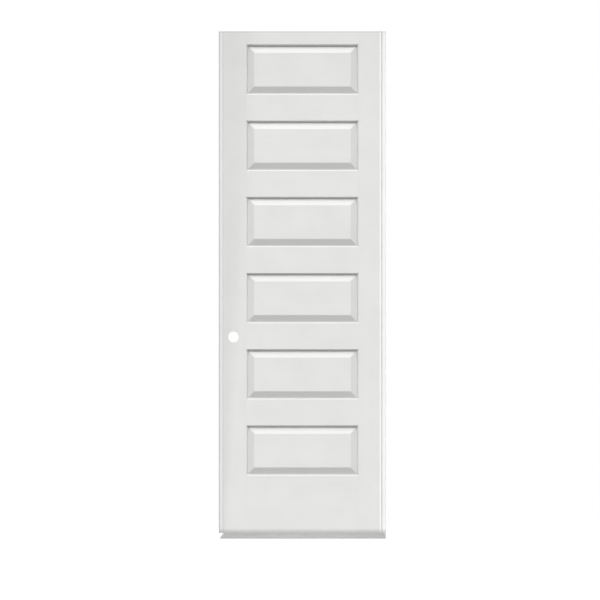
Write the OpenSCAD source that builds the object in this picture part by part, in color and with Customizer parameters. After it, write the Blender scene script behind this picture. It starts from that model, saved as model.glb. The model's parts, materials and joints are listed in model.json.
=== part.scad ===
// Interior door slab of two stiles, seven rails and six raised panels, bored for a lockset.
// Lengths are in mm. X runs from the lock edge to the hinge edge, Y from the front face to
// the back face, Z up. The origin is the middle of the bottom edge.

/* [Slab] */
// Width from the lock edge to the hinge edge
slab_w = 812.8; // [700:0.1:920]
// Height from the bottom edge to the top edge
slab_h = 2438.4; // [2300:0.1:2600]
// Thickness from face to face
slab_t = 34.9; // [34:0.1:45]

/* [Stiles and rails] */
// Width of a stile together with its edge strip
stile_w = 139.7; // [134:0.1:165]
// Width of the solid strip glued along a stile's outer edge
strip_w = 20; // [12:0.5:30]
// Height of the top rail
top_rail_h = 69.85; // [55:0.05:150]
// Height of each rail between two panels
cross_rail_h = 139.7; // [100:0.1:160]
// Height of the bottom rail
bottom_rail_h = 285.75; // [180:0.05:340]
// Radius of the long outer corners
corner_r = 4; // [0.5:0.1:6]
// Leg of the V line where the hinge edge strip meets its stile
hinge_v = 2; // [0.3:0.1:3]
// Leg of the finer V line where the lock edge strip meets its stile
lock_v = 0.8; // [0.3:0.1:3]

/* [Moulded inner edge] */
// Step from the face down to the round
quirk = 1.6; // [0.5:0.1:2.4]
// Radius of the round that frames each panel
round_r = 6.4; // [5:0.1:9.3]
// Width of the groove that holds the panels
groove_w = 12.7; // [10.5:0.1:14]
// Depth of that groove
groove_depth = 12.7; // [9:0.1:16]
// Gap on each side of a rail's stub tenon
tenon_gap = 0.1; // [0.05:0.05:0.3]
// Gap past the end of a rail's stub tenon
tenon_end_gap = 0.5; // [0.2:0.1:1.5]

/* [Panels] */
// Thickness at the raised field
panel_t = 31.8; // [20:0.1:33.5]
// Width of the slope round the raised field
bevel_w = 31.8; // [15:0.1:45]
// Flat strip between the frame and the slope
reveal_w = 1.5; // [0.5:0.1:5]
// Gap on each side of a panel's tongue
tongue_gap = 0.15; // [0.05:0.05:0.4]
// Room for the panel to swell past its tongue
swell_gap = 3.2; // [1:0.1:6]

/* [Lock holes] */
// Diameter of the lockset hole through both faces
lock_d = 54; // [40:0.1:57]
// Centre of the lockset hole from the lock edge
backset = 69.85; // [60:0.05:73]
// Centre of the lockset hole above the bottom edge
lock_z = 952.5; // [850:0.5:1150]
// Diameter of the latch hole in the lock edge
latch_d = 25.4; // [20:0.1:28]

/* [Dowels] */
// Diameter of a dowel
dowel_d = 9.5; // [6:0.1:10]
// Gap round a dowel
dowel_gap = 0.05; // [0.05:0.01:0.2]
// Length of a dowel inside its rail
dowel_in_rail = 40; // [25:0.5:60]
// Air past each end of a dowel
dowel_end_gap = 1.5; // [0.5:0.1:4]
// Wood kept between a dowel hole and the lockset hole
dowel_wall = 8; // [4:0.5:14]
// Dowels at each end of the top rail
top_dowels = 2; // [1:1:2]
// Dowels at each end of a rail between two panels
cross_dowels = 2; // [1:1:4]
// Dowels at each end of the bottom rail
bottom_dowels = 4; // [2:1:6]

/* [Hidden] */
panel_count = 6;
// How far a cutter runs past the surface it opens
over = 1;
$fn = 48;

round_depth = quirk + round_r;
opening_w = slab_w - 2 * stile_w;
opening_h = (slab_h - top_rail_h - bottom_rail_h - (panel_count - 1) * cross_rail_h) / panel_count;
pitch = opening_h + cross_rail_h;
tenon_l = groove_depth - tenon_end_gap;
tongue_l = groove_depth - swell_gap;
tongue_t = groove_w - 2 * tongue_gap;
lock_x = backset - slab_w / 2;
dowel_in_stile = stile_w - groove_depth - backset - lock_d / 2 - dowel_wall - dowel_end_gap;
dowel_l = dowel_in_rail + groove_depth + dowel_in_stile;

// Bottom of each rail and opening, counted from the top of the door
function cross_z(i) = slab_h - top_rail_h - i * pitch;
function opening_z(i) = cross_z(i - 1) - opening_h;

// Dowel heights, spread evenly over the wood between a rail's grooves
function spread(low, high, count) = [for (k = [1 : count]) low + (high - low) * (2 * k - 1) / (2 * count)];
top_dowel_z = spread(slab_h - top_rail_h + groove_depth, slab_h, top_dowels);
bottom_dowel_z = spread(0, bottom_rail_h - groove_depth, bottom_dowels);
function cross_dowel_z(i) =
    spread(cross_z(i) + groove_depth, cross_z(i) + cross_rail_h - groove_depth, cross_dowels);
all_dowel_z = concat(
    top_dowel_z,
    [for (i = [1 : panel_count - 1]) each cross_dowel_z(i)],
    bottom_dowel_z
);

paint = [0.89, 0.89, 0.88];
edge_paint = [0.97, 0.97, 0.96];
bare_wood = [0.80, 0.66, 0.46];

// Outlines below have the moulded edge on the Y axis, the wood on the +X side of it and the
// middle of the door's thickness on the X axis.

// What the cutter takes off one face, leaving a quirked round
module round_cut() {
    translate([0, -slab_t / 2])
    difference() {
        translate([-over, -over]) square([round_r + over, round_depth + over]);
        translate([round_r, round_depth]) circle(round_r);
    }
}

// The rounds on both faces
module edge_rounds() {
    round_cut();
    mirror([0, 1]) round_cut();
}

// The groove between them
module edge_groove() {
    translate([-over, -groove_w / 2]) square([groove_depth + over, groove_w]);
}

// A bar's outline, moulded on its near edge, its far edge or both
module bar(width, near, far) {
    difference() {
        translate([0, -slab_t / 2]) square([width, slab_t]);
        if (near) {
            edge_rounds();
            edge_groove();
        }
        if (far) translate([width, 0]) mirror([1, 0]) {
            edge_rounds();
            edge_groove();
        }
    }
}

// The small bevels that make the V line on both faces
module v_cut(leg) {
    for (side = [-1, 1])
        translate([0, side * slab_t / 2]) rotate(45) square(leg * sqrt(2), center = true);
}

// A stile's outline, its moulded edge on the Y axis
module stile_outline(leg) {
    difference() {
        bar(stile_w - strip_w, true, false);
        translate([stile_w - strip_w, 0]) v_cut(leg);
    }
}

// Its edge strip's outline, in the same place
module strip_outline(leg) {
    difference() {
        translate([stile_w - strip_w, -slab_t / 2]) square([strip_w, slab_t]);
        translate([stile_w - strip_w, 0]) v_cut(leg);
        translate([stile_w, 0]) {
            corner_cut();
            mirror([0, 1]) corner_cut();
        }
    }
}

// What comes off one long outer corner to round it
module corner_cut() {
    translate([-corner_r, -slab_t / 2])
    difference() {
        translate([0, -over]) square([corner_r + over, corner_r + over]);
        translate([0, corner_r]) circle(corner_r);
    }
}

// Stands an outline of the hinge side upright, full height
module stand() {
    translate([opening_w / 2, 0, 0]) linear_extrude(slab_h) children();
}

// The same for the lock side
module stand_mirrored() {
    mirror([1, 0, 0]) stand() children();
}

// Holes for the dowels of one list of heights, at both sides of the door
module dowel_holes(heights) {
    for (z = heights) for (side = [0, 1])
        mirror([side, 0, 0])
        translate([opening_w / 2 - dowel_in_rail - dowel_end_gap, 0, z])
        rotate([0, 90, 0])
        cylinder(h = dowel_l + 2 * dowel_end_gap, r = dowel_d / 2 + dowel_gap);
}

module latch_hole() {
    translate([-slab_w / 2 - over, 0, lock_z]) rotate([0, 90, 0]) cylinder(h = backset + over, d = latch_d);
}

module lock_hole() {
    translate([lock_x, 0, lock_z]) rotate([90, 0, 0]) cylinder(h = slab_t + 2 * over, d = lock_d, center = true);
}

module lock_stile() {
    color(paint)
    difference() {
        stand_mirrored() stile_outline(lock_v);
        dowel_holes(all_dowel_z);
        lock_hole();
        latch_hole();
    }
}

module hinge_stile() {
    color(paint)
    difference() {
        stand() stile_outline(hinge_v);
        dowel_holes(all_dowel_z);
    }
}

module lock_edge_strip() {
    color(paint)
    difference() {
        stand_mirrored() strip_outline(lock_v);
        latch_hole();
    }
}

module hinge_edge_strip() {
    color(edge_paint) stand() strip_outline(hinge_v);
}

// A rail from z up, coped at its ends over the stiles' rounds and tenoned into their grooves
module rail(z, height, low, high, heights) {
    tenon_low = low ? groove_depth : 0;
    tenon_high = high ? groove_depth : 0;
    difference() {
        union() {
            difference() {
                translate([0, 0, z])
                rotate([0, -90, 0])
                linear_extrude(opening_w + 2 * round_r, center = true)
                bar(height, low, high);
                for (side = [0, 1])
                    mirror([side, 0, 0]) stand() difference() {
                        translate([0, -slab_t / 2]) square([round_r + over, slab_t]);
                        edge_rounds();
                    }
            }
            translate([-opening_w / 2 - tenon_l, -groove_w / 2 + tenon_gap, z + tenon_low])
            cube([opening_w + 2 * tenon_l, groove_w - 2 * tenon_gap, height - tenon_low - tenon_high]);
        }
        dowel_holes(heights);
    }
}

module top_rail() {
    color(paint) rail(slab_h - top_rail_h, top_rail_h, true, false, top_dowel_z);
}

module cross_rail(i) {
    color(paint) rail(cross_z(i), cross_rail_h, true, true, cross_dowel_z(i));
}

module bottom_rail() {
    color(paint) rail(0, bottom_rail_h, false, true, bottom_dowel_z);
}

// A panel's outline across an opening: tongue, reveal, slope, field and back again
module panel_outline(span) {
    tip = span / 2 + tongue_l;
    foot = span / 2 - reveal_w;
    crest = foot - bevel_w;
    polygon([
        [-tip, -tongue_t / 2], [-foot, -tongue_t / 2], [-crest, -panel_t / 2],
        [crest, -panel_t / 2], [foot, -tongue_t / 2], [tip, -tongue_t / 2],
        [tip, tongue_t / 2], [foot, tongue_t / 2], [crest, panel_t / 2],
        [-crest, panel_t / 2], [-foot, tongue_t / 2], [-tip, tongue_t / 2]
    ]);
}

// The outlines across and up the opening, crossed so that the slopes meet in mitres
module panel(i) {
    color(paint)
    translate([0, 0, opening_z(i) + opening_h / 2])
    intersection() {
        linear_extrude(opening_h + 2 * tongue_l, center = true) panel_outline(opening_w);
        rotate([0, -90, 0]) linear_extrude(opening_w + 2 * tongue_l, center = true) panel_outline(opening_h);
    }
}

module dowels() {
    color(bare_wood)
    for (z = all_dowel_z) for (side = [0, 1])
        mirror([side, 0, 0])
        translate([opening_w / 2 - dowel_in_rail, 0, z])
        rotate([0, 90, 0])
        cylinder(h = dowel_l, d = dowel_d);
}

lock_stile();
hinge_stile();
lock_edge_strip();
hinge_edge_strip();
top_rail();
cross_rail(1);  // cross_rail_1
cross_rail(2);  // cross_rail_2
cross_rail(3);  // cross_rail_3
cross_rail(4);  // cross_rail_4
cross_rail(5);  // cross_rail_5
bottom_rail();
panel(1);  // panel_1
panel(2);  // panel_2
panel(3);  // panel_3
panel(4);  // panel_4
panel(5);  // panel_5
panel(6);  // panel_6
dowels();
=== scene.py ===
import json
import math

import bpy
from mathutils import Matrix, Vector

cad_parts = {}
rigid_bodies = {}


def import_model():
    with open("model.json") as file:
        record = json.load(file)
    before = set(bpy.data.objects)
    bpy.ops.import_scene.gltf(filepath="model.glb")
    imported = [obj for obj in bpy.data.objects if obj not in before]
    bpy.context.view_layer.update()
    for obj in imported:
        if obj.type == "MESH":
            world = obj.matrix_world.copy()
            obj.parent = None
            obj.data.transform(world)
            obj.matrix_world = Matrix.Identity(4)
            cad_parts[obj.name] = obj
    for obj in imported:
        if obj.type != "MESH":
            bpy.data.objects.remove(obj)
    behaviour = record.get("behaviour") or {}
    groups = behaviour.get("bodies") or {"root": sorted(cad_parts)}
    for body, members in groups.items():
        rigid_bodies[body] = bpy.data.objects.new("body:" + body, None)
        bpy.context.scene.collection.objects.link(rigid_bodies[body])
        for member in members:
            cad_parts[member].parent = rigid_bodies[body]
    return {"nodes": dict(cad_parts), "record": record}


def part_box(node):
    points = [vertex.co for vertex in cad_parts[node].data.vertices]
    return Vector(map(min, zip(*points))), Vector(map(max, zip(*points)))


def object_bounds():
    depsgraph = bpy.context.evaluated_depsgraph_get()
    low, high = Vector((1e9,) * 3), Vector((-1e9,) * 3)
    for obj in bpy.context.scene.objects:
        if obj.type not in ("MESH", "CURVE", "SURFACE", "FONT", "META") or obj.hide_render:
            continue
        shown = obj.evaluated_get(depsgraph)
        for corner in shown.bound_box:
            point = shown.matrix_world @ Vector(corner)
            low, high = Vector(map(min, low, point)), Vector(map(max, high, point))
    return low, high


for startUpThing in list(bpy.data.objects):  # Blender's own cube, lamp and camera
    bpy.data.objects.remove(startUpThing)

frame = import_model()
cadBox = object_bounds()

scene = bpy.context.scene
nodes = frame["nodes"]
record = frame["record"]
mounts = {mount["name"]: mount for mount in record["mounts"]}
slotColours = {material["slot"]: material["base_color"] for material in record["materials"]}
nodeSlots = {subpart["node"]: subpart["material_slot"] for subpart in record["subparts"]}
slabLow, slabHigh = cadBox
slabHeight = slabHigh.z - slabLow.z
millimetre = 0.001
white = (1.0, 1.0, 1.0)
print(f"frame loaded: {len(nodes)} pieces, slab {slabHeight:.3f} m tall")


# One shader socket. Sums on it add Math nodes to its tree, and make() adds any other node.
class Wire:
    def __init__(self, tree, socket=None):
        self.tree = tree
        self.socket = socket

    def make(self, kind, settings=None, inputs=None, output=0):
        node = self.tree.nodes.new(kind)
        for name, value in (settings or {}).items():
            if name == "stops":
                self.fillRamp(node.color_ramp, value)
            else:
                setattr(node, name, value)
        for key, value in (inputs or {}).items():
            if isinstance(value, Wire):
                self.tree.links.new(value.socket, node.inputs[key])
            else:
                node.inputs[key].default_value = value
        return Wire(self.tree, node.outputs[output] if node.outputs else None)

    def fillRamp(self, ramp, stops):
        while len(ramp.elements) < len(stops):
            ramp.elements.new(1.0)
        for element, (place, colour) in zip(ramp.elements, stops):
            element.position = place
            element.color = opaque(colour)

    def sums(self, operation, *values):
        return self.make("ShaderNodeMath", {"operation": operation}, dict(enumerate(values)))

    def __add__(self, other):
        return self.sums("ADD", self, other)

    def __radd__(self, other):
        return self.sums("ADD", other, self)

    def __sub__(self, other):
        return self.sums("SUBTRACT", self, other)

    def __rsub__(self, other):
        return self.sums("SUBTRACT", other, self)

    def __mul__(self, other):
        return self.sums("MULTIPLY", self, other)

    def __rmul__(self, other):
        return self.sums("MULTIPLY", other, self)

    def __truediv__(self, other):
        return self.sums("DIVIDE", self, other)

    def __rtruediv__(self, other):
        return self.sums("DIVIDE", other, self)

    def __lt__(self, other):
        return self.sums("LESS_THAN", self, other)

    def __abs__(self):
        return self.sums("ABSOLUTE", self)


# Short forms of the nodes that the finishes use most
def newMaterial(name):
    material = bpy.data.materials.new(name)
    material.use_nodes = True
    material.node_tree.nodes.clear()
    return material, Wire(material.node_tree)


# Noise with so many waves a metre along the grain and across it
def pattern(place, axis, look):
    waves = tuple(look["along"] if letter == axis else look["across"] for letter in "XYZ")
    stretched = place.make("ShaderNodeVectorMath", {"operation": "MULTIPLY"}, {0: place, 1: waves})
    return place.make("ShaderNodeTexNoise", {"noise_dimensions": "3D"},
                      {"Vector": stretched, "Scale": 1.0,
                       "Detail": look["detail"], "Roughness": look["roughness"]}, "Fac")


# A pattern's rise and fall about its middle
def swing(waves):
    return waves - 0.5


def blend(factor, first, second):
    return factor.make("ShaderNodeMix", {"data_type": "RGBA"}, {0: factor, 6: first, 7: second}, 2)


def tint(colour, amount):
    return amount.make("ShaderNodeVectorMath", {"operation": "SCALE"}, {0: colour, "Scale": amount})


# 0 up to low, 1 from high on, and a smooth rise between
def ease(value, low, high):
    return value.make("ShaderNodeMapRange", {"interpolation_type": "SMOOTHSTEP", "clamp": True},
                      {"Value": value, "From Min": low, "From Max": high})


def parts(vector):
    return [vector.make("ShaderNodeSeparateXYZ", {}, {0: vector}, letter) for letter in "XYZ"]


def opaque(colour):
    return (*colour, 1.0)


bareWoodLook = {
    "rings": {"along": 5.0, "across": 190.0, "detail": 3.0, "roughness": 0.6},
    "fibres": {"along": 40.0, "across": 1400.0, "detail": 2.0, "roughness": 0.5},
    "fibreShare": 0.15,
    "earlyStop": 0.38,                  # where the rings turn from early wood to late wood
    "lateStop": 0.66,
}


# The colour of unpainted wood, its growth rings seen along the grain
def bareWood(place, axis, earlyWood, lateWood):
    look = bareWoodLook
    rings = pattern(place, axis, look["rings"])
    fibres = pattern(place, axis, look["fibres"])
    stops = [(look["earlyStop"], earlyWood), (look["lateStop"], lateWood)]
    return place.make("ShaderNodeValToRGB", {"stops": stops},
                      {"Fac": (1 - look["fibreShare"]) * rings + look["fibreShare"] * fibres})


boreLook = {
    "earlyWood": (0.56, 0.37, 0.19),
    "lateWood": (0.37, 0.20, 0.085),
    "skin": 0.25 * millimetre,          # how deep round a bore the raw wood is looked for
    "roughness": 0.78,
    "bitRings": {"along": 420.0, "across": 160.0, "detail": 2.0, "roughness": 0.5},
    "ringRise": 0.12 * millimetre,      # what the boring bit leaves
}


# 1 on the wall of the lockset bore and of the latch bore, 0 elsewhere
def boreMask(place):
    lock, latch = mounts["lockset_bore"], mounts["latch_bore"]
    lockX, _, lockZ = lock["pos_m"]
    lockRadius = lock["dims"]["r_mm"] * millimetre + boreLook["skin"]
    latchRadius = latch["dims"]["r_mm"] * millimetre + boreLook["skin"]
    x, y, z = parts(place)
    side, up = x - lockX, z - lockZ
    inLock = side * side + up * up < lockRadius ** 2
    inLatch = (y * y + up * up < latchRadius ** 2) * (x < lockX)
    return place.sums("MAXIMUM", inLock, inLatch)


primerLook = {
    "roughness": 0.47,
    "ior": 1.48,
    "seedStep": 1.7,                    # sets each piece's patterns apart from the next one's
    # tone and roughness that change over a hand's breadth
    "mottle": {"along": 7.0, "across": 7.0, "detail": 3.0, "roughness": 0.55},
    "mottleTone": 0.1,
    "mottleRoughness": 0.12,
    # fine raised grain, and wide bands of it, that show through the coat
    "grain": {"along": 6.0, "across": 480.0, "detail": 3.0, "roughness": 0.6},
    "grainTone": 0.022,
    "grainRise": 0.085 * millimetre,
    "bands": {"along": 0.9, "across": 34.0, "detail": 2.0, "roughness": 0.5},
    "bandTone": 0.03,
    "bandRise": 0.08 * millimetre,
    # the spray's orange peel, and the marks of a light sanding
    "peel": {"along": 620.0, "across": 620.0, "detail": 1.0, "roughness": 0.5},
    "peelRise": 0.04 * millimetre,
    "rub": {"along": 30.0, "across": 900.0, "detail": 1.0, "roughness": 0.5},
    "rubRoughness": 0.06,
    # corners, where the coat is thin
    "arris": 0.9 * millimetre,          # how far the corners are rubbed down
    "crest": 4.0 * millimetre,          # and the raised panels' softer ones
    "cornerSamples": 6,
    "cornerTurn": (0.02, 0.2),          # how sharp the turn is where thinning starts, and where it ends
    "thinColour": (0.60, 0.57, 0.51),
    "thinAmount": 0.35,
    "thinBase": 0.4,                    # the least that thins, to which the mottle adds
    # painted shade in the mouldings and slopes, darker the deeper, from this depth to this one
    "recessTop": 1.7 * millimetre,
    "recessFoot": 2.9 * millimetre,
    "recessShadeTone": 0.11,
    # painted shade on what faces up, dimming the light from above, from this tilt to this one
    "ledgeShadeTilt": (0.32, 0.75),
    "ledgeShadeTone": 0.46,
    # painted shade along the foot of the door, like a shadow from the floor
    "footShadeHeight": 26 * millimetre,
    "footShadeTone": 0.34,
    # painted shade along the slab's outer edges, most at the lock edge
    "rim": 7 * millimetre,
    "rimDepth": 9 * millimetre,
    "lockRimShade": 0.5,
    "hingeRimShade": 0.1,
    "topRimShade": 0.27,
    # how far in from the lock edge it is painted darker as shade, at the foot of the door and at its top
    "lockShadeFoot": 40 * millimetre,
    "lockShadeTop": 240 * millimetre,
    "lockShadeStart": 0.3,                   # the share of that way before the painted shade starts to lift
    "lockShadeTone": 0.085,
    "topShadeReach": 500 * millimetre,        # how far down from the top it is painted a little darker as shade
    "topShadeTone": 0.03,
    # the V lines beside the edge strips, hardly reached by the spray and darkened further as painted
    # shade
    "lineReach": 2.5 * millimetre,
    "lineDepth": 0.8 * millimetre,
    "lineCoatAndShade": 0.45,
    # how far the hinge edge strip's whiter colour, a painted highlight, runs onto the hinge stile
    "highlightLap": 11 * millimetre,
    "highlightBlur": 1.5 * millimetre,
}


# The share of the coat's tone that is left once painted shade is laid on, by where on the door the coat
# lies: recesses, what faces up, the foot, the outer edges, the top, towards the lock edge, and the V
# lines (there partly a thin coat)
def paintedShadeTone(tone, place, upward, lockShade, line):
    look = primerLook
    across, thickness, height = parts(place)
    depth = slabHigh.y - abs(thickness)
    footShadeTop = slabLow.z + look["footShadeHeight"]
    # painted shade, darker the deeper in the mouldings and slopes
    tone = tone * (1 - look["recessShadeTone"] * ease(depth, look["recessTop"], look["recessFoot"]))
    # painted shade on what faces up
    tone = tone * (1 - look["ledgeShadeTone"] * ease(upward, *look["ledgeShadeTilt"]))
    # painted shade along the foot
    tone = tone * (1 - look["footShadeTone"] * (1 - ease(height, slabLow.z, footShadeTop)))
    toTop = slabHigh.z - height
    # painted shade along the outer edges
    nearFace = 1 - ease(depth, 0.0, look["rimDepth"])
    for toEdge, rimShade in ((across - slabLow.x, look["lockRimShade"]),
                            (slabHigh.x - across, look["hingeRimShade"]),
                            (toTop, look["topRimShade"])):
        tone = tone * (1 - rimShade * nearFace * (1 - ease(toEdge, 0.0, look["rim"])))
    # painted shade, a little darker towards the top
    tone = tone * (1 - look["topShadeTone"] * (1 - ease(toTop, 0.0, look["topShadeReach"])))
    # painted shade towards the lock edge
    if lockShade:
        widening = (look["lockShadeTop"] - look["lockShadeFoot"]) / slabHeight
        reach = look["lockShadeFoot"] + widening * (height - slabLow.z)
        unshaded = ease((across - slabLow.x) / reach, look["lockShadeStart"], 1.0)
        tone = tone * (1 - look["lockShadeTone"] * (1 - unshaded))
    # a darker coat in the V lines, partly painted shade
    if line is not None:
        inLine = (abs(across - line) < look["lineReach"]) * ease(depth, 0.0, look["lineDepth"])
        tone = tone * (1 - look["lineCoatAndShade"] * inLine)
    return tone


# White primer sprayed on a piece whose grain runs along one axis. It may be painted darker towards the
# lock edge as shade, take a painted highlight in the hinge strip's whiter colour beside the V line at a
# given X, and stop at the bores.
def primer(name, colour, axis, seed, arris, lockShade=True, line=None, highlightColour=None, bored=False):
    look = primerLook
    material, wire = newMaterial(name)
    doorPlace = wire.make("ShaderNodeTexCoord", {}, {}, "Object")
    shift = (seed, 2 * seed, 3 * seed)
    place = wire.make("ShaderNodeVectorMath", {"operation": "ADD"}, {0: doorPlace, 1: shift})
    mottle, grain, bands, peel, rub = (pattern(place, axis, look[kind])
                                       for kind in ("mottle", "grain", "bands", "peel", "rub"))

    # corners: where the rounded normal leaves the surface's own
    surfaceNormal = wire.make("ShaderNodeNewGeometry", {}, {}, "Normal")
    easedNormal = wire.make("ShaderNodeBevel", {"samples": look["cornerSamples"]}, {"Radius": arris})
    likeness = wire.make("ShaderNodeVectorMath", {"operation": "DOT_PRODUCT"},
                         {0: surfaceNormal, 1: easedNormal}, "Value")
    thin = ease(1 - likeness, *look["cornerTurn"]) * (look["thinBase"] + mottle) * look["thinAmount"]

    streaks = look["bandTone"] * swing(bands) + look["grainTone"] * swing(grain)
    tone = 1 + look["mottleTone"] * swing(mottle) + streaks
    upward = parts(surfaceNormal)[2]
    tone = paintedShadeTone(tone, doorPlace, upward, lockShade, line)
    paint = tuple(colour)
    # painted highlight: the hinge strip's whiter colour runs onto the stile beside the V line
    if highlightColour is not None:
        highlightStart = line - look["highlightLap"]
        highlighted = ease(parts(doorPlace)[0], highlightStart - look["highlightBlur"], highlightStart + look["highlightBlur"])
        paint = blend(highlighted, opaque(colour), opaque(highlightColour))
    paint = blend(thin, tint(paint, tone), opaque(look["thinColour"]))
    unevenness = look["mottleRoughness"] * swing(mottle) + look["rubRoughness"] * swing(rub)
    roughness = look["roughness"] + unevenness
    relief = look["grainRise"] * grain + look["bandRise"] * bands + look["peelRise"] * peel

    if bored:
        mask = boreMask(doorPlace)
        paint = blend(mask, paint, bareWood(place, axis, boreLook["earlyWood"], boreLook["lateWood"]))
        roughness = roughness + mask * (boreLook["roughness"] - look["roughness"])
        relief = relief + mask * pattern(place, "Y", boreLook["bitRings"]) * boreLook["ringRise"]

    bumpy = wire.make("ShaderNodeBump", {},
                      {"Strength": 1.0, "Distance": 1.0, "Height": relief, "Normal": easedNormal})
    shader = wire.make("ShaderNodeBsdfPrincipled", {},
                       {"Base Color": paint, "Roughness": roughness, "Normal": bumpy, "IOR": look["ior"]})
    wire.make("ShaderNodeOutputMaterial", {}, {"Surface": shader})
    return material


dowelLook = {
    "earlyWood": (0.66, 0.47, 0.28),
    "lateWood": (0.50, 0.31, 0.15),
    "fleck": {"along": 120.0, "across": 1500.0, "detail": 2.0, "roughness": 0.6},
    "fleckTone": 0.2,
    "fleckRise": 0.08 * millimetre,
    "roughness": 0.72,
}


# Bare beech for the dowels inside the joints, which lie along X
def beech(name):
    look = dowelLook
    material, wire = newMaterial(name)
    place = wire.make("ShaderNodeTexCoord", {}, {}, "Object")
    fleck = pattern(place, "X", look["fleck"])
    wood = bareWood(place, "X", look["earlyWood"], look["lateWood"])
    bumpy = wire.make("ShaderNodeBump", {},
                      {"Strength": 1.0, "Distance": 1.0, "Height": fleck * look["fleckRise"]})
    shader = wire.make("ShaderNodeBsdfPrincipled", {},
                       {"Base Color": tint(wood, 1 + look["fleckTone"] * swing(fleck)),
                        "Roughness": look["roughness"], "Normal": bumpy})
    wire.make("ShaderNodeOutputMaterial", {}, {"Surface": shader})
    return material


def dress(name, material):
    for slot in nodes[name].material_slots:
        slot.material = material


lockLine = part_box("lock_edge_strip")[1].x     # where each edge strip meets its stile
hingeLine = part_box("hinge_edge_strip")[0].x
stripLines = {"lock_stile": lockLine, "lock_edge_strip": lockLine,
              "hinge_stile": hingeLine, "hinge_edge_strip": hingeLine}
# the hinge edge strip's whiter colour, a painted highlight, laid onto the hinge stile beside its V line
highlightColours = {"hinge_stile": slotColours[nodeSlots["hinge_edge_strip"]]}
boredPieces = ["lock_stile", "lock_edge_strip"]
for number, name in enumerate(sorted(nodes)):
    if name == "dowels":
        dress(name, beech("beechDowels"))
        continue
    dress(name, primer(
        f"primer_{name}",
        slotColours[nodeSlots[name]],
        axis="Z" if name in stripLines else "X",
        seed=primerLook["seedStep"] * number,
        arris=primerLook["crest" if name.startswith("panel") else "arris"],
        lockShade=name != "lock_edge_strip",
        line=stripLines.get(name),
        highlightColour=highlightColours.get(name),
        bored=name in boredPieces,
    ))
print("finishes on:", len(bpy.data.materials), "materials")


# 1 for what the camera sees straight, mirrored or through glass, 0 for light that falls on things
def seenDirectly(wire):
    camera, glossy, through = (wire.make("ShaderNodeLightPath", {}, {}, f"Is {kind} Ray")
                               for kind in ("Camera", "Glossy", "Transmission"))
    return wire.sums("MAXIMUM", wire.sums("MAXIMUM", camera, glossy), through)


floorLook = {
    "gap": 32 * millimetre,           # the hung door clears the floor
    "reach": 40.0,
    "colour": (0.9, 0.9, 0.9),          # as the camera sees it, shadow and all
    "bounce": (0.25, 0.25, 0.25),       # what it throws back up at the door
    "shadowEnd": (0.25, 0.8),           # behind the door, its shadow runs out between these, in metres
}


def layFloor(look):
    half = look["reach"] / 2
    level = slabLow.z - look["gap"]
    corners = [(-half, -half, level), (half, -half, level), (half, half, level), (-half, half, level)]
    mesh = bpy.data.meshes.new("floor")
    mesh.from_pydata(corners, [], [(0, 1, 2, 3)])
    floor = bpy.data.objects.new("floor", mesh)
    scene.collection.objects.link(floor)
    material, wire = newMaterial("paleFloor")
    behind = parts(wire.make("ShaderNodeTexCoord", {}, {}, "Object"))[1]
    dull = wire.make("ShaderNodeBsdfDiffuse", {}, {"Color": opaque(look["bounce"])})
    pale = wire.make("ShaderNodeBsdfDiffuse", {}, {"Color": opaque(look["colour"])})
    bare = wire.make("ShaderNodeEmission", {}, {"Color": opaque(white), "Strength": 1.0})
    seen = wire.make("ShaderNodeMixShader", {}, {0: ease(behind, *look["shadowEnd"]), 1: pale, 2: bare})
    both = wire.make("ShaderNodeMixShader", {}, {0: seenDirectly(wire), 1: dull, 2: seen})
    wire.make("ShaderNodeOutputMaterial", {}, {"Surface": both})
    mesh.materials.append(material)
    return floor


# Lamps stand so many degrees above the horizon, and round from the front towards the hinge edge
studioLook = {
    "fill": 0.472,                      # even light from all round
    "doorLamps": {
        "key": {"strength": 3.38, "height": 58.0, "side": 2.0, "softness": 45.0},
        "back": {"strength": 2.3, "height": 52.0, "side": 178.0, "softness": 45.0},
        "edgeLeft": {"strength": 0.9, "height": 10.0, "side": -110.0, "softness": 25.0},
        "edgeRight": {"strength": 0.9, "height": 10.0, "side": 110.0, "softness": 25.0},
    },
    "floorLamps": {                     # one small lamp, so that the door's shadow keeps its edges
        "floorKey": {"strength": 5.0, "height": 35.0, "side": -2.0, "softness": 2.5},
    },
}


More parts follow.
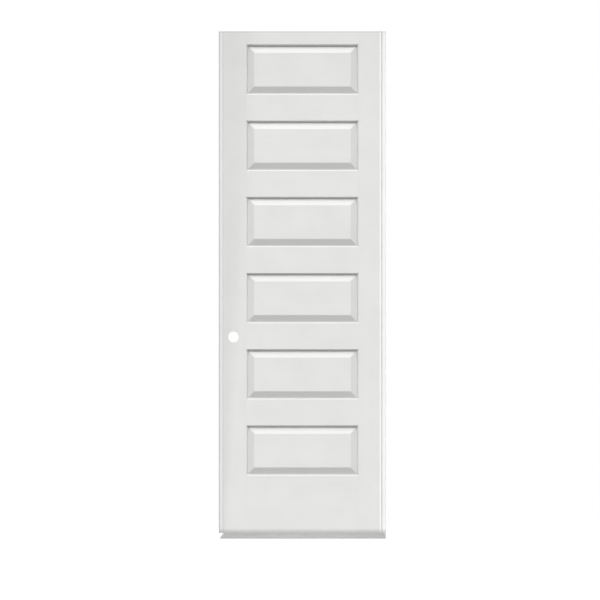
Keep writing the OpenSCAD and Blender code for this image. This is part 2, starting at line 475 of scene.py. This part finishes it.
# A soft lamp far away
def hangLamp(name, look):
    height, side = math.radians(look["height"]), math.radians(look["side"])
    outward = math.cos(height)
    towards = Vector((math.sin(side) * outward, -math.cos(side) * outward, math.sin(height)))
    lamp = bpy.data.lights.new(name, "SUN")
    lamp.energy = look["strength"]
    lamp.angle = math.radians(look["softness"])
    holder = bpy.data.objects.new(name, lamp)
    holder.rotation_mode = "QUATERNION"
    holder.rotation_quaternion = towards.to_track_quat("Z", "Y")
    scene.collection.objects.link(holder)
    return holder


def gather(name, things):
    collection = bpy.data.collections.new(name)
    for thing in things:
        collection.objects.link(thing)
    return collection


def lightStudio(look, floor):
    world = bpy.data.worlds.new("studio")
    scene.world = world
    world.use_nodes = True
    world.node_tree.nodes.clear()
    wire = Wire(world.node_tree)
    seen = seenDirectly(wire)
    light = wire.make("ShaderNodeBackground", {},
                      {"Color": opaque(white), "Strength": seen + (1 - seen) * look["fill"]})
    wire.make("ShaderNodeOutputWorld", {}, {"Surface": light})
    lit = {"doorLamps": gather("door", nodes.values()), "floorLamps": gather("ground", [floor])}
    for kind, receivers in lit.items():
        for name, lampLook in look[kind].items():
            hangLamp(name, lampLook).light_linking.receiver_collection = receivers


viewLook = {
    "framePixels": 600.0,
    "doorTopPixel": 31.4,               # where the door stands in that frame
    "doorBottomPixel": 533.0,
    "doorMiddlePixel": 302.4,
    "distance": 12.0,                   # a long way off, so the edges stay parallel
    "sensor": 36.0,
    "farthest": 200.0,
}


def placeCamera(look):
    pixelsPerMetre = (look["doorBottomPixel"] - look["doorTopPixel"]) / slabHeight
    frameWidth = look["framePixels"] / pixelsPerMetre
    middle = look["framePixels"] / 2
    camera = bpy.data.cameras.new("camera")
    camera.sensor_width = look["sensor"]
    camera.lens = look["sensor"] * look["distance"] / frameWidth
    camera.clip_end = look["farthest"]
    stand = bpy.data.objects.new("camera", camera)
    stand.location = (
        (slabLow.x + slabHigh.x) / 2 - (look["doorMiddlePixel"] - middle) / pixelsPerMetre,
        slabLow.y - look["distance"],
        slabHigh.z - (middle - look["doorTopPixel"]) / pixelsPerMetre,
    )
    stand.rotation_euler = (math.radians(90), 0, 0)  # level, square to the face
    scene.collection.objects.link(stand)
    scene.camera = stand


lightStudio(studioLook, layFloor(floorLook))
placeCamera(viewLook)
scene.view_settings.view_transform = "Standard"
print("studio and camera set")
